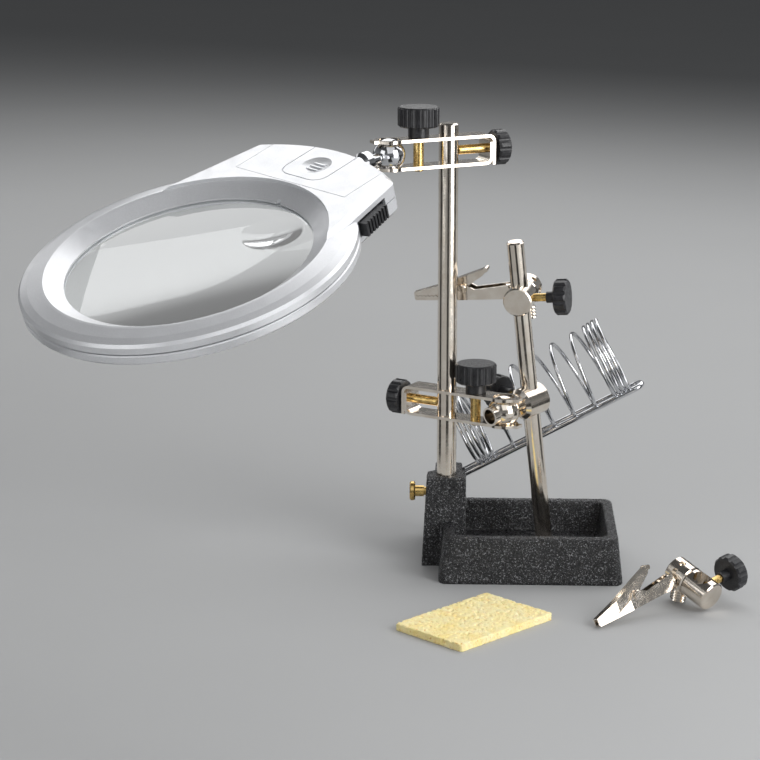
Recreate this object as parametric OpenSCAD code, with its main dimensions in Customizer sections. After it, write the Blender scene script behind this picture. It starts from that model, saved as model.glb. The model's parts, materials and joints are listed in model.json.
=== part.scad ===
// Helping hands stand: weighted tray base, main rod, two ball brackets, lit magnifier,
// short rod with a clip, soldering iron holder, loose second clip and sponge.
// Origin: centre of the tray's underside. +X right, +Y back, +Z up.

/* [Base] */
// Width of the tray
base_w = 75; // [65:1:90]
// Depth of the tray
base_d = 62.5; // [56:0.5:75]
// Height of the tray wall
base_h = 19.2; // [16:0.2:24]
// Thickness of the tray wall
base_wall = 4; // [3:0.5:6]
// Thickness of the tray floor
base_floor = 6.5; // [4:0.5:8]
// Height of the rod post
post_h = 37.5; // [32:0.5:44]

/* [Rods] */
// Diameter of the main rod
rod_d = 8; // [8:0.5:8.5]
// Height of the main rod's top
rod_top = 183.6; // [182:1:200]
// Diameter of the short rod
short_rod_d = 7; // [6:0.5:7]
// Length of the short rod
short_rod_len = 129; // [110:1:129]

/* [Brackets] */
// Height of the upper bracket
upper_z = 172.4; // [165:0.1:174]
// Direction of the upper bracket's closed end
upper_yaw = 27.7; // [20:0.1:35]
// Height of the lower bracket
lower_z = 67.8; // [64:0.1:72]
// Direction of the lower bracket's closed end
lower_yaw = 151.2; // [148:0.1:155]
// Distance from the rod to the ball
ball_reach = 26.5; // [25:0.1:28]
// Radius of the balls
ball_r = 6.5; // [6.3:0.05:6.6]

/* [Magnifier] */
// Radius of the opening in the ring
lens_open_r = 47.4; // [46:0.1:48]
// Outer radius of the ring
ring_r = 64.4; // [63:0.1:66]
// Direction, rise and roll of the magnifier's handle
mag_turn = [4.8, -19.6, 45.9]; // [-45:0.1:60]
// Thickness of the lens at its middle
lens_mid = 7.4; // [5:0.2:9]

/* [Iron holder] */
// Tilt of the holder above the table
holder_tilt = 28; // [20:1:40]
// Radius of the coil at its lower end, to the wire's centre
coil_r_low = 14.5; // [13:0.1:14.8]
// Radius of the coil at its mouth, to the wire's centre
coil_r_high = 16; // [15:0.1:16.4]

/* [Sponge] */
// Length, width and thickness of the sponge
sponge_size = [51.6, 35, 3]; // [2:0.2:60]

/* [Hidden] */
fit = 0.05;            // radial clearance of a running fit
snug = 0.02;           // radial clearance of a fixed pin
draft = 2.2;           // lean of the tray's sides from foot to rim
rod_xy = [-34.6, 1];
rod_r = rod_d / 2;
rod_foot = 10;
short_r = short_rod_d / 2;
post_lo = [-44.6, -7.4];
post_hi = [-42.7, -5.5];
post_end = [-26.5, 7];

strip_t = 1.2;         // bracket strip thickness
strip_w = 10;
strip_gap = 9.8;       // between the two strips' inner faces
leg_z = strip_gap / 2;
seat_r = 4.35;         // hole that seats the ball
flange_out = 18.8;
pinch_x = -13.5;
pinch_r = 2.1;
end_r = 1.9;

hub_yaw = 42;
hub_tilt = 8.3;        // tilt that makes the hub square to the short rod
hub_reach = 15;
short_foot = -61;      // short rod's lower end, along its own axis from the hub
hub_r = 6.4;

clip_a_h = 44.2;       // height of the fitted clip's clamp on the short rod
clip_a_yaw = -56;
clip_b_pos = [65.9, -58.4, 8.75];
clip_b_turn = [19.3, -10.9, 40.2];
clip_b_roll = -40;     // how far the loose clip's jaws are turned in their block
barrel_r = 5.9;
barrel_split = 5.3;
barrel_end = 14.6;
tail_y = 10.2;         // clip's line, behind the short rod's axis
clamp_screw_r = 1.65;
jaw_pivot = [-26, 1.9];
jaw_t = 0.7;

mag_ball = [107.6, 0, -6.5];
shell_h = 7.5;
shell_t = 1.8;
seam = 0.2;
door_x = 54.8;
door_half = 30.3;
lens_r = 50;
lens_edge = 2;
led_angles = [-14, 0, 14];
cell_x = [63.8, 74.4];  // the two cells, side by side
cell_r = 5.2;
cell_half = 22;
stem_r = 3;
stem_tilt = 12.1;
dent_r = 18;           // ball that hollows the door's thumb dent

rail_start = [-27.6, 33, 29];
rail_len = 86;
rail_r = 1.2;
rail_half = 3.5;
coil_wire_r = 0.75;
coil_start = 8.4;
dense_pitch = 2.1;
open_pitch = 9.7;
dense_turns = 3;
open_turns = 6;
last_turns = 3.5;
total_turns = dense_turns + open_turns + last_turns;

$fn = 48;

// ---- frames -------------------------------------------------------------
module at_upper_bracket() { translate([rod_xy[0], rod_xy[1], upper_z]) rotate([0, 0, upper_yaw]) children(); }
module at_lower_bracket() { translate([rod_xy[0], rod_xy[1], lower_z]) rotate([0, 0, lower_yaw]) children(); }
function ball_at(yaw, z) = [rod_xy[0] - ball_reach * cos(yaw), rod_xy[1] - ball_reach * sin(yaw), z];
module at_magnifier() { translate(ball_at(upper_yaw, upper_z)) rotate(mag_turn) translate(-mag_ball) children(); }
module at_hub() {
    translate(ball_at(lower_yaw, lower_z)) rotate([0, 0, hub_yaw]) rotate([0, -hub_tilt, 0]) children();
}
module at_short_rod() { at_hub() translate([hub_reach, 0, 0]) children(); }
module at_clip_a() { at_short_rod() translate([0, 0, clip_a_h]) rotate([0, 0, clip_a_yaw]) children(); }
module at_clip_b() { translate(clip_b_pos) rotate(clip_b_turn) children(); }
module at_holder() { translate(rail_start) rotate([0, -holder_tilt, 0]) children(); }
// Turned about the clip's tail
module rolled(a) { translate([0, tail_y, 0]) rotate([a, 0, 0]) translate([0, -tail_y, 0]) children(); }
module along_x() { rotate([0, 90, 0]) children(); }
module along_y() { rotate([-90, 0, 0]) children(); }

// ---- shared shapes ------------------------------------------------------
// Cylinder from a to b along Z
module rod(r, a, b) { translate([0, 0, a]) cylinder(r = r, h = b - a); }

// Cylinder with small chamfers at both ends
module pin(r, a, b, c = 0.4) {
    rotate_extrude() polygon([[0, a], [r - c, a], [r, a + c], [r, b - c], [r - c, b], [0, b]]);
}

// Moulded thumb knob with flutes, a neck below and a blind bore
module knob(head_r, head_a, head_b, neck_r, neck_a, bore_r, bore_b, flutes, flute_r) {
    difference() {
        union() {
            pin(head_r, head_a, head_b, 0.7);
            rod(neck_r, neck_a, head_a + 1);
        }
        for (i = [0 : flutes - 1]) rotate([0, 0, i * 360 / flutes])
            translate([head_r + flute_r * 0.45, 0, 0]) rod(flute_r, head_a - 1, head_b + 1);
        rod(bore_r, neck_a - 1, bore_b);
    }
}

function corners(x, y) = [[x, y], [x, -y], [-x, -y], [-x, y]];

// Block with rounded upright corners and leaning sides
module tapered_block(x, y, z0, z1, lean, r) {
    hull() {
        for (c = corners(x - r, y - r)) translate([c[0], c[1], z0]) cylinder(r = r, h = 0.1, $fn = 24);
        for (c = corners(x - r - lean, y - r - lean))
            translate([c[0], c[1], z1 - 0.1]) cylinder(r = r, h = 0.1, $fn = 24);
    }
}

// ---- base ---------------------------------------------------------------
module base_post() {
    edge = 2.5;
    hull() {
        translate([post_lo[0], post_lo[1], 0])
            cube([post_end[0] - post_lo[0], post_end[1] - post_lo[1], 0.1]);
        translate([post_hi[0], post_hi[1], post_h - edge])
            cube([post_end[0] - post_hi[0], post_end[1] - post_hi[1], edge - 0.8]);
        translate([post_hi[0] + edge, post_hi[1] + 0.8, post_h - 0.1])
            cube([post_end[0] - post_hi[0] - edge - 1, post_end[1] - post_hi[1] - 1.6, 0.1]);
    }
}

// Arm behind the post that carries the iron holder's rail
module rail_arm() {
    arm_d = rail_start[1] + rail_half + 2.6 - post_end[1];
    hull() {
        translate([-40.5, post_end[1] - 1, 0]) cube([13, arm_d + 1, 0.1]);
        translate([-39.6, post_end[1] - 1, rail_start[2] + 2]) cube([11.4, arm_d + 0.2, 1]);
    }
}

module base_casting() {
    color([0.09, 0.09, 0.1]) difference() {
        union() {
            difference() {
                tapered_block(base_w / 2, base_d / 2, 0, base_h, draft, 4);
                translate([0, 0, base_floor])
                    tapered_block(base_w / 2 - draft - base_wall - 2, base_d / 2 - draft - base_wall - 2,
                        0, base_h - base_floor + 0.2, -2, 4);
            }
            base_post();
            rail_arm();
        }
        translate([rod_xy[0], rod_xy[1], 0]) rod(rod_r + fit, rod_foot, post_h + 1);
        translate([rod_xy[0], rod_xy[1], 30]) along_x() rod(1.75 + fit, -12, 0);
        at_holder() for (side = [-1, 1]) translate([0, side * rail_half, 0])
            along_x() rod(rail_r + snug, -6.1, 12);
    }
}

module rod_thumb_screw() {
    color([0.8, 0.62, 0.25]) translate([rod_xy[0], rod_xy[1], 30]) along_x() {
        rod(1.75, -10, -rod_r - 0.05);
        rod(2.3, -13, -9.3);
        pin(4, -15.2, -12.9, 0.5);
    }
}

module main_rod() {
    color([0.75, 0.72, 0.68]) translate([rod_xy[0], rod_xy[1], 0]) pin(rod_r, rod_foot + 0.1, rod_top, 0.6);
}

// ---- brackets -----------------------------------------------------------
module strip_plan(end_x) {
    difference() {
        union() {
            translate([-ball_reach, 0]) circle(r = 5.9);
            translate([-ball_reach, -strip_w / 2]) square([ball_reach + end_x, strip_w]);
            translate([-ball_reach - 7.4, -2.2]) square([4, 4.4]);
        }
        translate([-ball_reach, 0]) circle(r = seat_r);
        circle(r = rod_r + fit);
        translate([pinch_x, 0]) circle(r = pinch_r + fit);
    }
}

// Corner bend of a strip: quarter ring, outer radius r, joining leg and flange
module bend(r) {
    translate([0, strip_w / 2, 0]) rotate([90, 0, 0]) rotate_extrude(angle = 90)
        translate([r - strip_t, 0]) square([strip_t, strip_w]);
}

module bracket_jaw(end_x, up, hang) {
    r = 3;
    difference() {
        union() {
            mirror([0, 0, up ? 0 : 1]) {
                translate([0, 0, leg_z]) linear_extrude(strip_t) strip_plan(end_x - r);
                translate([end_x - r, 0, leg_z + strip_t - r]) bend(r);
                translate([end_x - strip_t, -strip_w / 2, -hang])
                    cube([strip_t, strip_w, hang + leg_z + strip_t - r]);
            }
        }
        along_x() rod(end_r + fit, end_x - 3, end_x + 1);
    }
}

module bracket_top_jaw() { color([0.8, 0.77, 0.72]) bracket_jaw(flange_out, true, leg_z + strip_t); }
module bracket_bottom_jaw() {
    color([0.8, 0.77, 0.72]) bracket_jaw(flange_out - strip_t - 0.05, false, leg_z - 1.9);
}
module bracket_pinch_screw() {
    color([0.8, 0.62, 0.25]) translate([pinch_x, 0, 0]) pin(pinch_r, -leg_z - strip_t - 1.3, 14, 0.3);
}
module bracket_pinch_knob() {
    color([0.07, 0.07, 0.08]) translate([pinch_x, 0, leg_z + strip_t])
        knob(8.4, 4.4, 12.4, 4.2, 0.15, pinch_r + snug, 8.2, 20, 0.9);
}
module bracket_end_screw() {
    color([0.8, 0.62, 0.25]) along_x() pin(end_r, rod_r + 0.05, flange_out + 4.2, 0.3);
}
module bracket_end_knob() {
    color([0.07, 0.07, 0.08]) translate([flange_out, 0, 0]) along_x()
        knob(7.15, 1.2, 6.6, 4.2, 0.15, end_r + snug, 4.4, 12, 1.2);
}

// ---- magnifier ----------------------------------------------------------
module housing_plan() {
    back_r = 76.6;
    offset(r = 4) offset(delta = -4) intersection() {
        translate([84 - back_r, 0]) circle(r = back_r, $fn = 96);
        polygon([[20, 49], [42, 44], [80, 36], [80 + 6, 20], [80 + 6, -20], [80, -36], [42, -44], [20, -49]]);
    }
}

// Closed housing form with softened edges, upper half
module housing_half(grow) {
    hull() {
        translate([0, 0, seam]) linear_extrude(shell_h - 2.4 - seam + grow) offset(delta = grow) housing_plan();
        linear_extrude(shell_h + grow) offset(delta = grow - 2.2) housing_plan();
    }
}

module ring_half() {
    t = 1.7;
    rotate_extrude($fn = 96) polygon([
        [lens_open_r, 1.25], [lens_open_r, 2.0], [53.6, 5.7], [54.4, 6.1], [55.4, 6.0],
        [60.5, 5.1], [63.4, 4.1], [ring_r, 3.0], [ring_r, seam + 0.4], [ring_r - 0.5, seam], [ring_r - t, seam],
        [ring_r - t, 2.4], [60, 3.4], [55, 4.3], [50.6, 1.9], [50.6, 1.25]]);
}

screw_spots = [[cos(120) * 58, sin(120) * 58], [cos(-120) * 58, sin(-120) * 58], [-58, 0],
    [75, 26], [75, -26]];

module switch_place() { translate([56.6, -40.9, 0]) rotate([0, 0, 12.9]) children(); }

module magnifier_half() {
    difference() {
        union() {
            ring_half();
            difference() {
                housing_half(0);
                difference() {
                    translate([0, 0, -shell_t]) housing_half(-shell_t + 0.6);
                    rod(ring_r - 1.2, -1, 9);
                }
                rod(54.4, -1, 20);
                rod(ring_r - 1.7, -1, 3.6);
            }
            for (p = screw_spots) translate([p[0], p[1], 0]) rod(2.4, seam + 0.15, 3.8);
        }
        for (p = screw_spots) translate([p[0], p[1], 0]) rod(1.2 + snug, -1, 3);
        switch_place() translate([-10.5, -4.5, -3.2]) cube([21, 7.5, 6.4]);
        for (x = cell_x) translate([x, 0, 0]) along_y() rod(cell_r + 0.15, -cell_half - 1.5, cell_half + 1.5);
    }
}

// Bore for the ball's stem, through the back of the housing
module stem_bore() { translate(mag_ball) rotate([0, stem_tilt, 0]) along_x() rod(stem_r + fit, -40, 0); }

module door_plan(gap) {
    intersection() {
        housing_plan();
        translate([door_x + gap, -door_half + gap]) square([40, 2 * (door_half - gap)]);
    }
}

module magnifier_top_shell() {
    color([0.8, 0.81, 0.83]) at_magnifier() difference() {
        magnifier_half();
        translate([0, 0, shell_h - 1.75]) linear_extrude(5) door_plan(0);
        translate([59, -door_half + 4, 2]) cube([18, 2 * door_half - 8, 10]);
        translate([lens_open_r, 0, 0]) rod(1.3, 0, 8);
        stem_bore();
    }
}

module magnifier_bottom_shell() {
    color([0.8, 0.81, 0.83]) at_magnifier() difference() {
        mirror([0, 0, 1]) magnifier_half();
        for (p = screw_spots) translate([p[0], p[1], 0]) {
            rod(2.1, -9, -4.4);
            rod(1.2 + fit, -9, 0);
        }
        stem_bore();
        for (a = led_angles) rotate([0, 0, a]) translate([53, 0, 0]) rod(1.6, -9, -1);
    }
}

// Half profile of a lens face: n points from the middle to radius r, bulge high
function face_curve(r, bulge, z, n) = [for (i = [0 : n]) [r * i / n, z + bulge * (1 - pow(i / n, 2))]];

module lens() {
    bulge = (lens_mid - lens_edge) / 2;
    face_r = lens_r - 2;
    color([0.85, 0.92, 0.93, 0.4]) at_magnifier() {
        for (side = [0, 1]) mirror([0, 0, side]) rotate_extrude($fn = 96)
            polygon(concat([[0, -0.1]], face_curve(face_r, bulge, lens_edge / 2, 10), [[face_r, -0.1]]));
        rod(lens_r, -lens_edge / 2, lens_edge / 2);
        translate([31, -13, 0]) mirror([0, 0, 1]) rotate_extrude()
            polygon(concat([[0, 0]], face_curve(12, 1.6, 2.4, 6), [[12, 0]]));
    }
}

// Outline of the door's catch, open at the back edge
module catch_plan(grow) {
    offset(r = 5.5 + grow) translate([65, -6]) square([30, 12]);
}

module battery_door() {
    color([0.8, 0.81, 0.83]) at_magnifier() {
        difference() {
            intersection() {
                translate([0, 0, shell_h - 1.7]) linear_extrude(5) door_plan(0.25);
                housing_half(0);
            }
            rod(54.9, 0, 20);
            translate([69.5, 0, shell_h + dent_r - 1.2]) sphere(r = dent_r);
            translate([0, 0, shell_h - 0.5]) linear_extrude(2) difference() {
                catch_plan(0.25);
                catch_plan(-0.25);
            }
        }
        for (i = [-1 : 1]) translate([69.2 + i * 2.2, -3, shell_h - 1.4]) cube([0.7, 6, 0.9]);
    }
}

module batteries() {
    color([0.25, 0.3, 0.4]) at_magnifier() for (x = cell_x)
        translate([x, 0, 0]) along_y() {
            pin(cell_r, -cell_half, cell_half - 0.8, 0.5);
            rod(1.9, cell_half - 1, cell_half + 0.2);
        }
}

module battery_contacts() {
    color([0.75, 0.72, 0.68]) at_magnifier() for (side = [-1, 1])
        translate([60.6, side * 22.9 - 0.25, -3.4]) cube([17, 0.5, 6.8]);
}

module led_board() {
    color([0.1, 0.3, 0.15]) at_magnifier() rotate([0, 0, -24]) rotate_extrude(angle = 48, $fn = 96)
        translate([51.4, -1.6]) square([3.4, 0.8]);
}

module leds() {
    color([0.95, 0.95, 0.9]) at_magnifier() for (a = led_angles) rotate([0, 0, a]) translate([53, 0, 0]) {
        rod(1.5, -4.6, -1.65);
        translate([0, 0, -4.6]) sphere(r = 1.5);
    }
}

module power_switch() {
    color([0.08, 0.08, 0.09]) at_magnifier() switch_place() {
        difference() {
            translate([-8.5, -3.6, -2.7]) cube([15, 3.4, 5.4]);
            for (i = [0 : 6]) translate([-7.3 + i * 2, -3.7, -3]) cube([0.9, 0.9, 6]);
        }
        translate([-4, -0.4, -1.4]) cube([6, 3, 2.8]);
    }
}

module shell_screws() {
    color([0.5, 0.5, 0.52]) at_magnifier() for (p = screw_spots) translate([p[0], p[1], 0]) {
        rod(1.2, -5, 2.9);
        pin(2, -5.6, -4.45, 0.2);
    }
}

module lens_ball() { color([0.75, 0.75, 0.76]) translate(ball_at(upper_yaw, upper_z)) sphere(r = ball_r); }

module lens_ball_stem() {
    color([0.75, 0.75, 0.76]) at_magnifier() translate(mag_ball) rotate([0, stem_tilt, 0]) difference() {
        along_x() {
            rod(stem_r, -27, -11);
            rod(2.2, -12, -5);
            translate([0, 0, -16.5]) pin(4.4, 0, 6, 1.4);
        }
        sphere(r = ball_r + 0.1);
    }
}

// ---- hub and short rod --------------------------------------------------
module hub_ball() {
    color([0.8, 0.77, 0.72]) at_hub() difference() {
        union() {
            sphere(r = ball_r);
            along_x() rod(3.9, -ball_r - 1.3, 0);
        }
        along_x() rod(3.1, -ball_r - 2, 2);
    }
}

module hub_block() {
    color([0.8, 0.77, 0.72]) at_hub() difference() {
        union() {
            along_x() rod(2.6, 4, hub_reach - 5);
            along_x() pin(hub_r, hub_reach - 7, hub_reach + 6.4, 1.5);
        }
        sphere(r = ball_r + 0.1);
        translate([hub_reach, 0, 0]) rod(short_r + fit, -20, 20);
        translate([hub_reach, 0, 0]) along_y() rod(clamp_screw_r + fit, 0, 20);
    }
}

module hub_screw() {
    color([0.8, 0.62, 0.25]) at_short_rod() along_y() pin(clamp_screw_r, short_r + 0.05, 19, 0.2);
}

module hub_knob() {
    color([0.07, 0.07, 0.08]) at_short_rod() along_y()
        knob(7.15, 17.2, 22, 2.5, 11.5, clamp_screw_r + snug, 19.3, 12, 1.2);
}

module short_rod() {
    color([0.8, 0.77, 0.72]) at_short_rod() pin(short_r, short_foot, short_foot + short_rod_len, 0.6);
}

// ---- clip clamp, used twice ---------------------------------------------
module clamp_rod_block() {
    color([0.8, 0.77, 0.72]) difference() {
        along_y() pin(barrel_r, -6.4, barrel_split, 0.5);
        rod(short_r + fit, -10, 10);
        along_x() rod(clamp_screw_r + fit, 0, 10);
        along_y() rod(1.6 + snug, 3, 6);
    }
}

module clamp_swivel_block() {
    color([0.8, 0.77, 0.72]) difference() {
        along_y() pin(barrel_r, barrel_split + 0.2, barrel_end, 0.5);
        translate([0, tail_y, 0]) along_x() rod(1.8 + fit, -10, 10);
        along_y() rod(1.6 + fit, 3, 8.1);
        translate([0, tail_y, 0]) rod(1.2 + fit, -10, 0);
        for (a = [40, 85, 130]) rotate([0, a, 0]) translate([0, tail_y + 0.2, 0]) along_x() rod(1.3, -10, -4.2);
    }
}

module clamp_pivot_pin() { color([0.6, 0.6, 0.6]) along_y() rod(1.6, short_r + 0.15, 8); }
module clamp_screw() { color([0.8, 0.62, 0.25]) along_x() pin(clamp_screw_r, short_r + 0.05, 16.4, 0.2); }
module clamp_knob() {
    color([0.07, 0.07, 0.08]) along_x() knob(7.3, 14.6, 19.8, 2.3, 10.9, clamp_screw_r + snug, 16.6, 12, 1.2);
}

// Turned thumb screw that holds the clip's tail
module tail_screw() {
    color([0.8, 0.77, 0.72]) translate([0, tail_y, 0]) {
        rod(1.2, -6.8, -1.85);
        translate([0, 0, -12]) rotate_extrude() polygon(concat([[0, 0]],
            [for (i = [0 : 7]) [i % 2 == 0 ? 3.3 : 2.75, 0.4 + i * 0.7]], [[2.6, 5.9], [0, 5.9]]));
    }
}

// Outline points of a row of teeth from x0 to x1, rising by h above the line z
function teeth(x0, x1, z, h, n) = [for (i = [0 : 2 * n]) [x0 + (x1 - x0) * i / (2 * n), z + (i % 2) * h]];

// Plate thickness and width profile common to both jaws: narrow at the tip
module jaw_plan(w_root, w_tip) {
    polygon([[-47.2, -w_tip / 2], [-47.2, w_tip / 2], [-30, w_root / 2], [-4, w_root / 2], [-4, -w_root / 2],
        [-30, -w_root / 2]]);
}

module upright(w) { translate([0, w / 2, 0]) rotate([90, 0, 0]) linear_extrude(w) children(); }

module lower_jaw() {
    root_w = 5.6;
    tip_w = 3;
    color([0.8, 0.77, 0.72]) translate([0, tail_y, 0]) difference() {
        union() {
            intersection() {
                translate([0, 0, -10]) linear_extrude(20) jaw_plan(root_w, tip_w);
                difference() {
                    upright(20) polygon(concat(
                        [[-6.6, -2.9], [-46.6, -2.9], [-47.1, -2.2]], teeth(-47.1, -37.1, -1.4, 0.7, 6),
                        [[-36, -1.2], [-30, 1], [-28, 3.4], [-24.4, 3.4], [-21, 1.4], [-6.6, 2.9]]));
                    translate([0, 0, -2.2]) linear_extrude(20) jaw_plan(root_w - 2 * jaw_t, tip_w - 2 * jaw_t);
                }
            }
            along_x() rod(1.8, -10, 5.4);
            along_x() rod(2.8, -8, -6.2);
        }
        translate([jaw_pivot[0], 0, jaw_pivot[1]]) along_y() rod(0.9 + snug, -10, 10);
    }
}

module upper_jaw() {
    color([0.8, 0.77, 0.72]) translate([0, tail_y, 0]) {
        translate([-15.8, 0, 9.4]) along_y() rod(1, -1.9, 1.9);
        difference() {
            intersection() {
                translate([0, 0, -10]) linear_extrude(24) polygon([[-47.1, -1.45], [-47.1, 1.45], [-36, 1.9],
                    [-10, 1.9], [-10, -1.9], [-36, -1.9]]);
                difference() {
                    upright(20) polygon(concat([[-47.1, 0.4]], teeth(-47.1, -37.1, -1.25, 0.65, 6),
                        [[-33, -0.2], [-27.6, 0.4], [-24.4, 0.4], [-23, 3.4], [-17, 7.2], [-15.4, 9.4],
                        [-16.6, 9.8], [-24.4, 7.2], [-36, 3.2]]));
                    upright(4 - 2 * jaw_t) polygon([[-36, -2], [-36, 2.3], [-24.4, 6.3], [-10, 11.5], [-10, -2]]);
                    upright(1.6) polygon([[-48, -2], [-48, -0.2], [-36, 2.3], [-30, -2]]);
                }
            }
            translate([jaw_pivot[0], 0, jaw_pivot[1]]) along_y() rod(0.9 + fit, -10, 10);
        }
    }
}

module jaw_pin() {
    color([0.85, 0.84, 0.8]) translate([jaw_pivot[0], tail_y, jaw_pivot[1]]) along_y() {
        rod(0.9, -3, 3);
        pin(1.8, 2.85, 3.6, 0.3);
        pin(1.8, -3.6, -2.85, 0.3);
    }
}

module jaw_spring() {
    color([0.6, 0.6, 0.6]) translate([jaw_pivot[0], tail_y, jaw_pivot[1]]) along_y()
        for (i = [-1 : 1]) translate([0, 0, i * 0.75]) rotate_extrude() translate([1.35, 0]) circle(r = 0.32);
}

// ---- iron holder --------------------------------------------------------
module iron_holder_rail() {
    straight = rail_len - rail_half - rail_r;
    color([0.75, 0.75, 0.76]) at_holder() {
        for (side = [-1, 1]) translate([0, side * rail_half, 0]) along_x() rod(rail_r, -6, straight);
        translate([straight, 0, 0]) rotate([0, 0, -90]) rotate_extrude(angle = 180)
            translate([rail_half, 0]) circle(r = rail_r);
    }
}

function coil_x(u) = coil_start + (u < dense_turns ? dense_pitch * u
    : u < dense_turns + open_turns ? dense_pitch * dense_turns + open_pitch * (u - dense_turns)
    : dense_pitch * dense_turns + open_pitch * open_turns + dense_pitch * (u - dense_turns - open_turns));
function coil_r(u) = coil_r_low + (coil_r_high - coil_r_low) * u / total_turns;
// Height of the coil's axis, so that each turn rests on the rail
function coil_z(u) = sqrt(pow(coil_r(u) + coil_wire_r + rail_r - 0.15, 2) - pow(rail_half, 2));
function coil_point(u, r) = [coil_x(u), -r * sin(360 * u), coil_z(u) - r * cos(360 * u)];

module iron_holder_coil() {
    steps = 22;
    sides = 6;
    rings = floor(total_turns * steps);
    points = [for (i = [0 : rings], k = [0 : sides - 1]) let (u = i / steps)
        coil_point(u, coil_r(u) + coil_wire_r * cos(360 * k / sides))
        + [coil_wire_r * sin(360 * k / sides), 0, 0]];
    faces = concat(
        [[for (k = [0 : sides - 1]) k]],
        [for (i = [0 : rings - 1], k = [0 : sides - 1]) let (n = (k + 1) % sides)
            [i * sides + k, (i + 1) * sides + k, (i + 1) * sides + n, i * sides + n]],
        [[for (k = [sides - 1 : -1 : 0]) rings * sides + k]]);
    color([0.75, 0.75, 0.76]) at_holder() polyhedron(points = points, faces = faces, convexity = 10);
}

module sponge() {
    half = sponge_size / 2;
    color([0.95, 0.72, 0.35]) translate([-22.7, -79.7, 0]) rotate([0, 0, 47]) linear_extrude(sponge_size[2])
        hull() for (c = corners(half[0] - 1, half[1] - 1)) translate(c) circle(r = 1, $fn = 16);
}

base_casting();
rod_thumb_screw();
main_rod();
at_upper_bracket() bracket_top_jaw();  // upper_bracket_top_jaw
at_upper_bracket() bracket_bottom_jaw();  // upper_bracket_bottom_jaw
at_upper_bracket() bracket_pinch_screw();  // upper_pinch_screw
at_upper_bracket() bracket_pinch_knob();  // upper_pinch_knob
at_upper_bracket() bracket_end_screw();  // upper_end_screw
at_upper_bracket() bracket_end_knob();  // upper_end_knob
at_lower_bracket() bracket_top_jaw();  // lower_bracket_top_jaw
at_lower_bracket() bracket_bottom_jaw();  // lower_bracket_bottom_jaw
at_lower_bracket() bracket_pinch_screw();  // lower_pinch_screw
at_lower_bracket() bracket_pinch_knob();  // lower_pinch_knob
at_lower_bracket() bracket_end_screw();  // lower_end_screw
at_lower_bracket() bracket_end_knob();  // lower_end_knob
lens_ball();
lens_ball_stem();
magnifier_top_shell();
magnifier_bottom_shell();
lens();
battery_door();
batteries();
battery_contacts();
led_board();
leds();
power_switch();
shell_screws();
hub_ball();
hub_block();
hub_screw();
hub_knob();
short_rod();
at_clip_a() clamp_rod_block();  // clip_a_rod_block
at_clip_a() clamp_swivel_block();  // clip_a_swivel_block
at_clip_a() clamp_pivot_pin();  // clip_a_pivot_pin
at_clip_a() clamp_screw();  // clip_a_clamp_screw
at_clip_a() clamp_knob();  // clip_a_clamp_knob
at_clip_a() tail_screw();  // clip_a_tail_screw
at_clip_a() lower_jaw();  // clip_a_lower_jaw
at_clip_a() upper_jaw();  // clip_a_upper_jaw
at_clip_a() jaw_pin();  // clip_a_jaw_pin
at_clip_a() jaw_spring();  // clip_a_spring
at_clip_b() clamp_rod_block();  // clip_b_rod_block
at_clip_b() clamp_swivel_block();  // clip_b_swivel_block
at_clip_b() clamp_pivot_pin();  // clip_b_pivot_pin
at_clip_b() clamp_screw();  // clip_b_clamp_screw
at_clip_b() clamp_knob();  // clip_b_clamp_knob
at_clip_b() tail_screw();  // clip_b_tail_screw
at_clip_b() rolled(clip_b_roll) lower_jaw();  // clip_b_lower_jaw
at_clip_b() rolled(clip_b_roll) upper_jaw();  // clip_b_upper_jaw
at_clip_b() rolled(clip_b_roll) jaw_pin();  // clip_b_jaw_pin
at_clip_b() rolled(clip_b_roll) jaw_spring();  // clip_b_spring
iron_holder_rail();
iron_holder_coil();
sponge();
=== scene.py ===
import json
import math

import bmesh
import bpy
from mathutils import Matrix, Vector, noise


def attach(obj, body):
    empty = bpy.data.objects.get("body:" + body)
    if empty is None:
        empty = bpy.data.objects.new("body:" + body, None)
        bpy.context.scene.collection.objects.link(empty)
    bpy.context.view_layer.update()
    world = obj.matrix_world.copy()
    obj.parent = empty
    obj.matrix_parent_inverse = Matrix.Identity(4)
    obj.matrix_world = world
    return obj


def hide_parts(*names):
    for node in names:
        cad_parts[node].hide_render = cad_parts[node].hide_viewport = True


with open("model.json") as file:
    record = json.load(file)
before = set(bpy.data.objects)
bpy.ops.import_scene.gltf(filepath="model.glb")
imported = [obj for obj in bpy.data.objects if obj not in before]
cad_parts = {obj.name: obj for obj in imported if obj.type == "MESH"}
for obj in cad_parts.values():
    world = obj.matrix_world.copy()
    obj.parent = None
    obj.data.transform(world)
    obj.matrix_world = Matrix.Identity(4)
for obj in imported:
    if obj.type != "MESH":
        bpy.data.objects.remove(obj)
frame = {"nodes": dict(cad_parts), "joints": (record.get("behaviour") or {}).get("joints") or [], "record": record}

MM = 0.001
NODES = frame["nodes"]
JOINTS = {joint["name"]: joint for joint in frame["joints"]}
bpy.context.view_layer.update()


# ---------------------------------------------------------------- camera
CAMERA_AIM = Vector((-62.13, 0.0, 77.47)) * MM
CAMERA_DISTANCE = 1010.18 * MM
CAMERA_PITCH = math.radians(13.87)
CAMERA_AZIMUTH = math.radians(2.15)
CAMERA_LENS = 116.5


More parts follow.
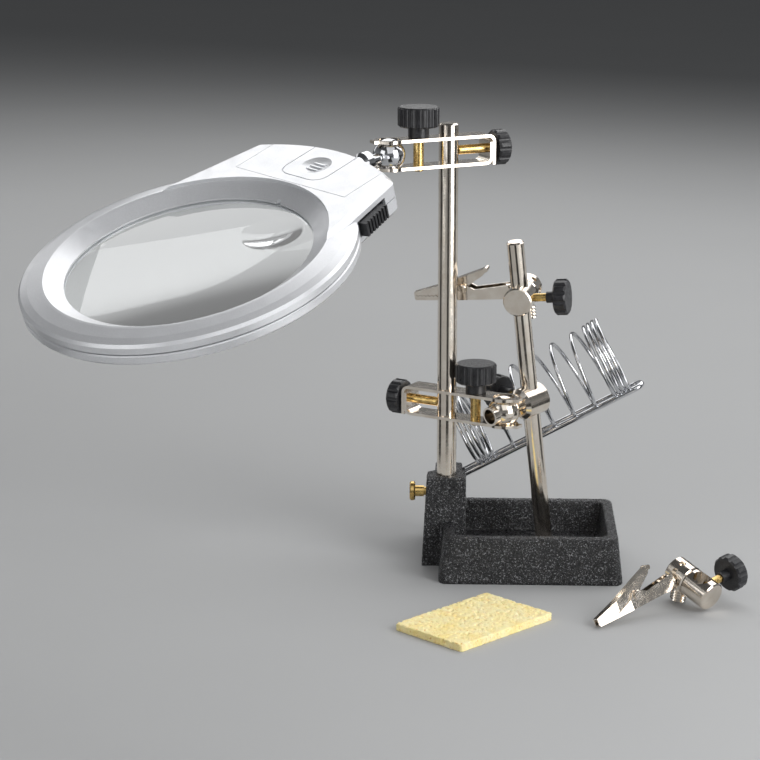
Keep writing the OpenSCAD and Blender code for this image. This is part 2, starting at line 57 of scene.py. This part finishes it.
def make_camera():
    back = Vector((
        math.sin(CAMERA_AZIMUTH) * math.cos(CAMERA_PITCH),
        -math.cos(CAMERA_AZIMUTH) * math.cos(CAMERA_PITCH),
        math.sin(CAMERA_PITCH),
    ))
    data = bpy.data.cameras.new("camera")
    data.lens = CAMERA_LENS
    data.sensor_width = 36.0
    data.clip_start = 0.01
    camera = bpy.data.objects.new("camera", data)
    camera.location = CAMERA_AIM + back * CAMERA_DISTANCE
    camera.rotation_euler = (-back).to_track_quat("-Z", "Y").to_euler()
    bpy.context.scene.collection.objects.link(camera)
    bpy.context.scene.camera = camera


# ---------------------------------------------------------------- materials
class Shader:
    """A node material with a Principled shader, and short calls for the nodes that it uses."""

    def __init__(self, name, colour, metallic=0.0, roughness=0.5, **sockets):
        self.material = bpy.data.materials.new(name)
        self.material.use_nodes = True
        self.tree = self.material.node_tree
        self.bsdf = self.tree.nodes["Principled BSDF"]
        self.set(**{"Base Color": (*colour, 1.0), "Metallic": metallic, "Roughness": roughness})
        self.set(**sockets)
        self.coords = self.tree.nodes.new("ShaderNodeTexCoord").outputs["Object"]
        self.height = None

    def set(self, **sockets):
        for socket, value in sockets.items():
            self.bsdf.inputs[socket.replace("_", " ")].default_value = value

    def link(self, a, b):
        self.tree.links.new(a, b)

    def noise(self, scale, detail=3.0, rough=0.5, stretch=None):
        node = self.tree.nodes.new("ShaderNodeTexNoise")
        node.inputs["Scale"].default_value = scale
        node.inputs["Detail"].default_value = detail
        node.inputs["Roughness"].default_value = rough
        self.link(self.stretched(stretch), node.inputs["Vector"])
        return node.outputs["Fac"]

    def cells(self, scale):
        node = self.tree.nodes.new("ShaderNodeTexVoronoi")
        node.inputs["Scale"].default_value = scale
        self.link(self.coords, node.inputs["Vector"])
        return node.outputs["Distance"]

    def stretched(self, stretch):
        if stretch is None:
            return self.coords
        node = self.tree.nodes.new("ShaderNodeMapping")
        node.inputs["Scale"].default_value = stretch
        self.link(self.coords, node.inputs["Vector"])
        return node.outputs["Vector"]

    def ramp(self, value, low, high, a=(0, 0, 0), b=(1, 1, 1)):
        node = self.tree.nodes.new("ShaderNodeValToRGB")
        node.color_ramp.elements[0].position = low
        node.color_ramp.elements[0].color = (*a, 1.0)
        node.color_ramp.elements[1].position = high
        node.color_ramp.elements[1].color = (*b, 1.0)
        self.link(value, node.inputs["Fac"])
        return node.outputs["Color"]

    def span(self, value, low, high, out_low, out_high):
        node = self.tree.nodes.new("ShaderNodeMapRange")
        limits = {"From Min": low, "From Max": high, "To Min": out_low, "To Max": out_high}
        for name, number in limits.items():
            node.inputs[name].default_value = number
        self.link(value, node.inputs["Value"])
        return node.outputs["Result"]

    def mix(self, factor, a, b, blend="MIX"):
        node = self.tree.nodes.new("ShaderNodeMix")
        node.data_type = "RGBA"
        node.blend_type = blend
        for socket, value in ((node.inputs["Factor"], factor), (node.inputs["A"], a), (node.inputs["B"], b)):
            if isinstance(value, (tuple, float)):
                socket.default_value = value if isinstance(value, float) else (*value, 1.0)
            else:
                self.link(value, socket)
        return node.outputs["Result"]

    def bump(self, value, strength, distance):
        node = self.tree.nodes.new("ShaderNodeBump")
        node.inputs["Strength"].default_value = strength
        node.inputs["Distance"].default_value = distance
        self.link(value, node.inputs["Height"])
        if self.height is not None:
            self.link(self.height, node.inputs["Normal"])
        self.height = node.outputs["Normal"]

    def colour(self, value):
        self.link(value, self.bsdf.inputs["Base Color"])

    def roughness(self, value):
        self.link(value, self.bsdf.inputs["Roughness"])

    def done(self):
        if self.height is not None:
            self.link(self.height, self.bsdf.inputs["Normal"])
        return self.material


def plated_metal(name, colour, dark, roughness, wear):
    """Bright plating with cloudy tarnish, fine polish scratches and uneven gloss."""
    s = Shader(name, colour, metallic=1.0, roughness=roughness)
    cloud = s.noise(160, 4, 0.6)
    s.colour(s.mix(s.span(cloud, 0.35, 0.75, 0.0, wear), colour, dark))
    smudge = s.noise(420, 5, 0.65)
    s.roughness(s.span(smudge, 0.3, 0.75, roughness * 0.7, roughness * 1.9))
    s.bump(s.noise(2600, 2, 0.5, stretch=(1, 1, 0.12)), 0.05, 0.00005)
    s.bump(s.noise(380, 2, 0.5), 0.08, 0.0002)
    return s.done()


def brass_metal():
    s = Shader("brass", (0.78, 0.55, 0.2), metallic=1.0, roughness=0.24)
    s.colour(s.mix(s.span(s.noise(300, 4), 0.3, 0.8, 0.0, 1.0), (0.82, 0.6, 0.24), (0.5, 0.31, 0.1)))
    s.roughness(s.span(s.noise(700, 4), 0.3, 0.75, 0.16, 0.4))
    s.bump(s.noise(3000, 2), 0.08, 0.00006)
    return s.done()


def knob_plastic():
    """Black moulded phenolic: fine-grained surface and dusty highlights."""
    s = Shader("knob_plastic", (0.025, 0.025, 0.027), roughness=0.38)
    dust = s.span(s.noise(500, 5, 0.7), 0.45, 0.8, 0.0, 1.0)
    s.colour(s.mix(dust, (0.014, 0.014, 0.016), (0.045, 0.046, 0.05)))
    s.roughness(s.span(s.noise(900, 4), 0.3, 0.75, 0.26, 0.5))
    s.bump(s.noise(1800, 3), 0.25, 0.0001)
    return s.done()


def silver_plastic():
    """Silver paint over moulded plastic: fine flake, a soft clear layer and slight orange peel."""
    s = Shader("silver_plastic", (0.8, 0.81, 0.83), metallic=0.45, roughness=0.34)
    s.set(Coat_Weight=0.25, Coat_Roughness=0.18)
    flake = s.cells(5200)
    s.colour(s.mix(s.span(flake, 0.05, 0.7, 0.0, 1.0), (0.86, 0.87, 0.89), (0.7, 0.71, 0.735)))
    s.roughness(s.span(s.noise(240, 4), 0.3, 0.75, 0.28, 0.42))
    s.bump(s.noise(5200, 2), 0.06, 0.00004)
    s.bump(s.noise(420, 2), 0.05, 0.0003)
    return s.done()


def enamel_painted_glints():
    """Black wrinkle enamel on a casting, with uneven gloss and pale specks that are painted glints."""
    s = Shader("enamel_painted_glints", (0.02, 0.02, 0.022), roughness=0.4)
    painted_glint_specks = s.noise(1700, 4, 0.75)
    # painted glints: pale specks in the base colour stand in for light caught on the wrinkle crests
    s.colour(s.mix(s.ramp(painted_glint_specks, 0.56, 0.64), (0.002, 0.002, 0.003), (0.4, 0.405, 0.42)))
    s.roughness(s.span(s.noise(800, 3), 0.3, 0.7, 0.14, 0.5))
    s.bump(s.noise(900, 4, 0.7), 1.0, 0.0009)
    return s.done()


def sponge_cellulose():
    """Yellow cellulose, with painted shade darkening its open cells."""
    s = Shader("sponge_cellulose", (0.95, 0.78, 0.35), roughness=0.85)
    s.set(Subsurface_Weight=0.15, Subsurface_Radius=(0.002, 0.0012, 0.0004))
    tone = s.mix(s.span(s.noise(160, 4), 0.35, 0.7, 0.0, 1.0), (1.0, 0.88, 0.5), (1.0, 0.8, 0.33))
    # painted shade: darker colour in the open cells stands in for the shade inside them
    painted_cell_shade = s.ramp(s.noise(620, 4, 0.7), 0.3, 0.42, (0.74, 0.45, 0.14), (1, 1, 1))
    s.colour(s.mix(0.85, tone, painted_cell_shade, "MULTIPLY"))
    s.bump(s.noise(1100, 4, 0.7), 0.6, 0.0004)
    return s.done()


def clear_lens():
    s = Shader("clear_lens", (0.98, 1.0, 1.0), roughness=0.015)
    s.set(Transmission_Weight=1.0, IOR=1.49, Specular_IOR_Level=0.15)
    s.roughness(s.span(s.noise(90, 3), 0.4, 0.8, 0.0, 0.03))
    return s.done()


def plain_plastic(name, colour, roughness):
    s = Shader(name, colour, roughness=roughness)
    dark = tuple(c * 0.75 for c in colour)
    s.colour(s.mix(s.span(s.noise(400, 4), 0.35, 0.75, 0.0, 1.0), colour, dark))
    s.roughness(s.span(s.noise(700, 3), 0.3, 0.75, roughness * 0.75, min(1.0, roughness * 1.3)))
    s.bump(s.noise(2000, 2), 0.1, 0.0001)
    return s.done()


MATERIALS = {
    "black_cast_iron": enamel_painted_glints(),
    "nickel_plate": plated_metal("nickel_plate", (0.9, 0.83, 0.74), (0.62, 0.53, 0.42), 0.11, 0.55),
    "chrome": plated_metal("chrome", (0.74, 0.75, 0.77), (0.3, 0.3, 0.32), 0.07, 0.6),
    "brass": brass_metal(),
    "black_plastic": knob_plastic(),
    "silver_plastic": silver_plastic(),
    "lens": clear_lens(),
    "spring_steel": plated_metal("spring_steel", (0.6, 0.6, 0.62), (0.3, 0.3, 0.3), 0.25, 0.5),
    "battery_jacket": plain_plastic("battery_jacket", (0.12, 0.2, 0.4), 0.3),
    "circuit_board": plain_plastic("circuit_board", (0.04, 0.22, 0.08), 0.35),
    "led": plain_plastic("led", (0.9, 0.9, 0.84), 0.1),
    "sponge": sponge_cellulose(),
}


CAD_CREASE = math.radians(32)


def paint(piece, slot):
    piece.data.materials.clear()
    piece.data.materials.append(MATERIALS[slot])


def paint_cad_nodes():
    for part in frame["record"]["subparts"]:
        node = NODES[part["node"]]
        paint(node, part["material_slot"])
        node.data.shade_smooth()
        node.data.set_sharp_from_angle(angle=CAD_CREASE)


# ---------------------------------------------------------------- pieces
def new_piece(name, mesh, body, slot, *replaced):
    piece = bpy.data.objects.new(name, mesh)
    bpy.context.scene.collection.objects.link(piece)
    paint(piece, slot)
    if replaced:
        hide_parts(*replaced)
    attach(piece, body)
    return piece


def applied(piece):
    """The piece's mesh with its modifiers applied."""
    bpy.context.view_layer.update()
    seen = piece.evaluated_get(bpy.context.evaluated_depsgraph_get())
    return bpy.data.meshes.new_from_object(seen)


def remeshed(node, voxel, smoothing):
    """The CAD node's shape as an even fine mesh with softened edges."""
    draft = bpy.data.objects.new("draft", NODES[node].data.copy())
    bpy.context.scene.collection.objects.link(draft)
    remesh = draft.modifiers.new("remesh", "REMESH")
    remesh.mode = "VOXEL"
    remesh.voxel_size = voxel
    smooth = draft.modifiers.new("smooth", "SMOOTH")
    smooth.factor = 0.5
    smooth.iterations = smoothing
    mesh = applied(draft)
    bpy.data.objects.remove(draft)
    return mesh


def carve(mesh, depth_at, fade):
    """Moves each point along its normal by depth_at(point), less near the lowest points, which stay flat."""
    lowest = min(v.co.z for v in mesh.vertices)
    moved = []
    for vertex in mesh.vertices:
        held = min(1.0, (vertex.co.z - lowest) / fade)
        moved.append(vertex.co + vertex.normal * (depth_at(vertex.co) * held))
    for vertex, place in zip(mesh.vertices, moved):
        vertex.co = place
    mesh.shade_smooth()


CAST_VOXEL = 0.55 * MM
CAST_RIPPLE = 0.14 * MM


def make_tray_casting():
    """The casting with softened edges and the uneven skin of a sand mould."""
    mesh = remeshed("base_casting", CAST_VOXEL, 4)
    carve(
        mesh,
        lambda p: CAST_RIPPLE * (noise.noise(p * 620) + 0.7 * noise.noise(p * 1300)),
        1.5 * MM,
    )
    new_piece("tray_casting", mesh, "base", "black_cast_iron", "base_casting")


SPONGE_VOXEL = 0.36 * MM
PIT_DEPTH = 0.75 * MM


def sponge_pit(p):
    """Open cells of two sizes, and a slow waviness."""
    coarse = max(0.0, noise.noise(p * 620) - 0.12)
    fine = max(0.0, noise.noise(p * 1500) - 0.1)
    return 0.12 * MM * noise.noise(p * 90) - PIT_DEPTH * (1.3 * coarse + 0.8 * fine)


def make_sponge():
    """Cut cellulose sponge, wavy and full of small open cells."""
    mesh = remeshed("sponge", SPONGE_VOXEL, 2)
    carve(mesh, sponge_pit, 1.0 * MM)
    piece = new_piece("sponge_pad", mesh, "sponge", "sponge", "sponge")


WIRE_CREASE = math.radians(50)


def tube(name, points, radius, sides, body, slot, *replaced):
    """A round wire along the points, with closed ends."""
    curve = bpy.data.curves.new(name, "CURVE")
    curve.dimensions = "3D"
    curve.bevel_depth = radius
    curve.bevel_resolution = sides // 4
    curve.use_fill_caps = True
    spline = curve.splines.new("POLY")
    spline.points.add(len(points) - 1)
    for target, point in zip(spline.points, points):
        target.co = (*point, 1.0)
    draft = bpy.data.objects.new(name + "_draft", curve)
    bpy.context.scene.collection.objects.link(draft)
    mesh = applied(draft)
    bpy.data.objects.remove(draft)
    mesh.shade_smooth()
    mesh.set_sharp_from_angle(angle=WIRE_CREASE)
    return new_piece(name, mesh, body, slot, *replaced)


HOLDER_START = Vector((-27.6, 33.0, 29.0)) * MM
HOLDER_TILT = math.radians(28)
COIL_WIRE = 0.75
RAIL_WIRE = 1.2
RAIL_HALF = 3.5
COIL_LOW, COIL_HIGH = 14.5, 16.0
DENSE_PITCH, OPEN_PITCH = 2.1, 9.7
DENSE_TURNS, OPEN_TURNS, LAST_TURNS = 3, 6, 3.5
COIL_STEPS = 40


def coil_point(turn):
    """A point on the coil in the rail's frame, in millimetres."""
    dense = DENSE_PITCH * min(turn, DENSE_TURNS)
    opened = OPEN_PITCH * min(max(turn - DENSE_TURNS, 0), OPEN_TURNS)
    last = DENSE_PITCH * max(turn - DENSE_TURNS - OPEN_TURNS, 0)
    radius = COIL_LOW + (COIL_HIGH - COIL_LOW) * turn / (DENSE_TURNS + OPEN_TURNS + LAST_TURNS)
    rest = math.sqrt((radius + COIL_WIRE + RAIL_WIRE - 0.15) ** 2 - RAIL_HALF ** 2)
    angle = 2 * math.pi * turn
    return Vector((8.4 + dense + opened + last, -radius * math.sin(angle), rest - radius * math.cos(angle)))


def make_iron_coil():
    place = Matrix.Translation(HOLDER_START) @ Matrix.Rotation(-HOLDER_TILT, 4, "Y")
    count = int((DENSE_TURNS + OPEN_TURNS + LAST_TURNS) * COIL_STEPS)
    points = [place @ (coil_point(i / COIL_STEPS) * MM) for i in range(count + 1)]
    tube("iron_coil", points, COIL_WIRE * MM, 16, "base", "chrome", "iron_holder_coil")


BALL_OUT, BALL_DROP = 107.6, 6.5


def magnifier_frame():
    """The magnifier's own axes: origin at the ring's middle, +X to the ball, +Z out of the top face."""
    x = Vector(JOINTS["battery_door_slide"]["axis"]).normalized()
    z = x.cross(Vector(JOINTS["power_switch_slide"]["axis"])).normalized()
    y = z.cross(x)
    ball = Vector(JOINTS["magnifier_tilt"]["pos_m"])
    origin = ball - x * (BALL_OUT * MM) + z * (BALL_DROP * MM)
    rows = Matrix((x, y, z)).transposed().to_4x4()
    return Matrix.Translation(origin) @ rows


MAGNIFIER = magnifier_frame()


LENS_R, LENS_RIM, LENS_EDGE, LENS_BULGE = 50.0, 2.0, 1.0, 1.3
LENS_STEPS, LENS_RINGS = 200, 90
LENS_CREASE = math.radians(12)
DOME_R = LENS_R - LENS_RIM
INSERT_AT = Vector((31.0, -13.0))
INSERT_R, INSERT_BULGE = 12.0, 1.6


def lens_height(x, y, insert):
    """How far a face stands from the middle plane: a shallow dome, and a small strong lens if asked."""
    dome = LENS_BULGE * max(0.0, 1 - (x * x + y * y) / DOME_R ** 2)
    away = (Vector((x, y)) - INSERT_AT).length / INSERT_R
    return LENS_EDGE + dome + (INSERT_BULGE * max(0.0, 1 - away * away) if insert else 0.0)


def make_lens():
    """Two-sided magnifying lens on a fine polar grid."""
    mesh = bpy.data.meshes.new("lens")
    bm = bmesh.new()
    loops = []
    for side in (1, -1):
        for i in range(LENS_RINGS + 1):
            radius = LENS_R if i == LENS_RINGS else DOME_R * i / (LENS_RINGS - 1)
            if i == 0:
                loops.append([bm.verts.new((0, 0, side * lens_height(0, 0, side < 0)))] * LENS_STEPS)
                continue
            loops.append([])
            for k in range(LENS_STEPS):
                angle = 2 * math.pi * k / LENS_STEPS
                x = radius * math.cos(angle)
                y = radius * math.sin(angle)
                loops[-1].append(bm.verts.new((x, y, side * lens_height(x, y, side < 0))))
    top, bottom = loops[:LENS_RINGS + 1], loops[LENS_RINGS + 1:]
    for a, b in list(zip(top, top[1:])) + list(zip(bottom, bottom[1:])) + [(top[-1], bottom[-1])]:
        for k in range(LENS_STEPS):
            n = (k + 1) % LENS_STEPS
            corners = list(dict.fromkeys((a[k], a[n], b[n], b[k])))
            bm.faces.new(corners)
    bmesh.ops.recalc_face_normals(bm, faces=bm.faces)
    bmesh.ops.scale(bm, vec=(MM, MM, MM), verts=bm.verts)
    bm.to_mesh(mesh)
    bm.free()
    mesh.transform(MAGNIFIER)
    mesh.shade_smooth()
    mesh.set_sharp_from_angle(angle=LENS_CREASE)
    piece = new_piece("magnifying_lens", mesh, "magnifier", "lens", "lens")
    piece.visible_shadow = False


# ---------------------------------------------------------------- studio
FLOOR_HALF = 40.0
FLOOR_TONE, FLOOR_SHADE = (0.46, 0.464, 0.466), (0.45, 0.454, 0.457)


def make_stage():
    mesh = bpy.data.meshes.new("floor")
    half = FLOOR_HALF
    corners = [(-half, -half, 0), (half, -half, 0), (half, half, 0), (-half, half, 0)]
    mesh.from_pydata(corners, [], [(0, 1, 2, 3)])
    floor = bpy.data.objects.new("floor", mesh)
    bpy.context.scene.collection.objects.link(floor)
    s = Shader("floor_paper", FLOOR_TONE, roughness=0.95)
    s.set(Specular_IOR_Level=0.0)
    s.colour(s.mix(s.span(s.noise(6, 3), 0.3, 0.7, 0.0, 1.0), FLOOR_TONE, FLOOR_SHADE))
    floor.data.materials.append(s.done())


LIGHT_AIM = Vector((-0.05, 0.0, 0.1))
LIGHTS = (
    ("overhead", (0.3, 0.62, 0.86), (2.0, 0.9), 11.6),
    ("right", (0.52, -0.46, 0.3), (0.42, 0.62), 4.2),
    ("left", (-0.6, -0.5, 0.3), (0.42, 0.62), 1.1),
    ("back_left", (-0.7, 0.75, 0.5), (0.3, 0.6), 0.5),
    ("front_fill", (0.25, -0.95, 1.05), (1.3, 1.2), 4.4),
)


def area_light(name, place, size, power):
    data = bpy.data.lights.new(name, "AREA")
    data.shape = "RECTANGLE"
    data.size, data.size_y = size
    data.energy = power
    light = bpy.data.objects.new(name, data)
    light.location = place
    light.rotation_euler = (LIGHT_AIM - Vector(place)).to_track_quat("-Z", "Y").to_euler()
    bpy.context.scene.collection.objects.link(light)


CARD_NEAR, CARD_FAR, CARD_HALF, CARD_FAR_HALF = 0.17, 1.6, 0.055, 0.2475
CARD_HEIGHT = 0.001
CARD_MIDDLE = (-0.02, 0, 0)
CARD_FIRST_ANGLE = -88


def reflection_card(name, angle):
    """A long dark card on the floor, seen only in reflections, that draws a dark stripe on polished rods."""
    mesh = bpy.data.meshes.new(name)
    corners = [
        (CARD_NEAR, -CARD_HALF, CARD_HEIGHT),
        (CARD_FAR, -CARD_FAR_HALF, CARD_HEIGHT),
        (CARD_FAR, CARD_FAR_HALF, CARD_HEIGHT),
        (CARD_NEAR, CARD_HALF, CARD_HEIGHT),
    ]
    mesh.from_pydata(corners, [], [(0, 1, 2, 3)])
    card = bpy.data.objects.new(name, mesh)
    card.rotation_euler = (0, 0, angle)
    card.location = CARD_MIDDLE
    bpy.context.scene.collection.objects.link(card)
    card.visible_camera = False
    card.visible_diffuse = False
    card.visible_transmission = False
    card.visible_shadow = False
    s = Shader(name, (0.01, 0.01, 0.01), roughness=1.0)
    s.bump(s.noise(40), 0.1, 0.001)
    card.data.materials.append(s.done())


SKY_LOW, SKY_HIGH, SKY_STRENGTH = (0.26, 0.265, 0.27, 1), (0.08, 0.082, 0.085, 1), 0.9


def make_world():
    """A sky that is pale at the horizon and dark above."""
    world = bpy.data.worlds.new("studio")
    bpy.context.scene.world = world
    world.use_nodes = True
    nodes, links = world.node_tree.nodes, world.node_tree.links
    coords = nodes.new("ShaderNodeTexCoord")
    split = nodes.new("ShaderNodeSeparateXYZ")
    ramp = nodes.new("ShaderNodeValToRGB")
    ramp.color_ramp.elements[0].position = 0.0
    ramp.color_ramp.elements[0].color = SKY_LOW
    ramp.color_ramp.elements[1].position = 0.6
    ramp.color_ramp.elements[1].color = SKY_HIGH
    links.new(coords.outputs["Generated"], split.inputs["Vector"])
    links.new(split.outputs["Z"], ramp.inputs["Fac"])
    links.new(ramp.outputs["Color"], nodes["Background"].inputs["Color"])
    nodes["Background"].inputs["Strength"].default_value = SKY_STRENGTH


def make_lights():
    """A wide softbox above and behind, two at the sides, a weak one behind and a broad fill in front."""
    bpy.context.scene.view_settings.view_transform = "Standard"
    make_world()
    for name, place, size, power in LIGHTS:
        area_light(name, place, size, power)
    for quarter in range(4):
        reflection_card("card_%d" % quarter, math.radians(CARD_FIRST_ANGLE + 90 * quarter))


make_camera()
make_stage()
make_lights()
paint_cad_nodes()
make_tray_casting()
make_iron_coil()
make_lens()
make_sponge()
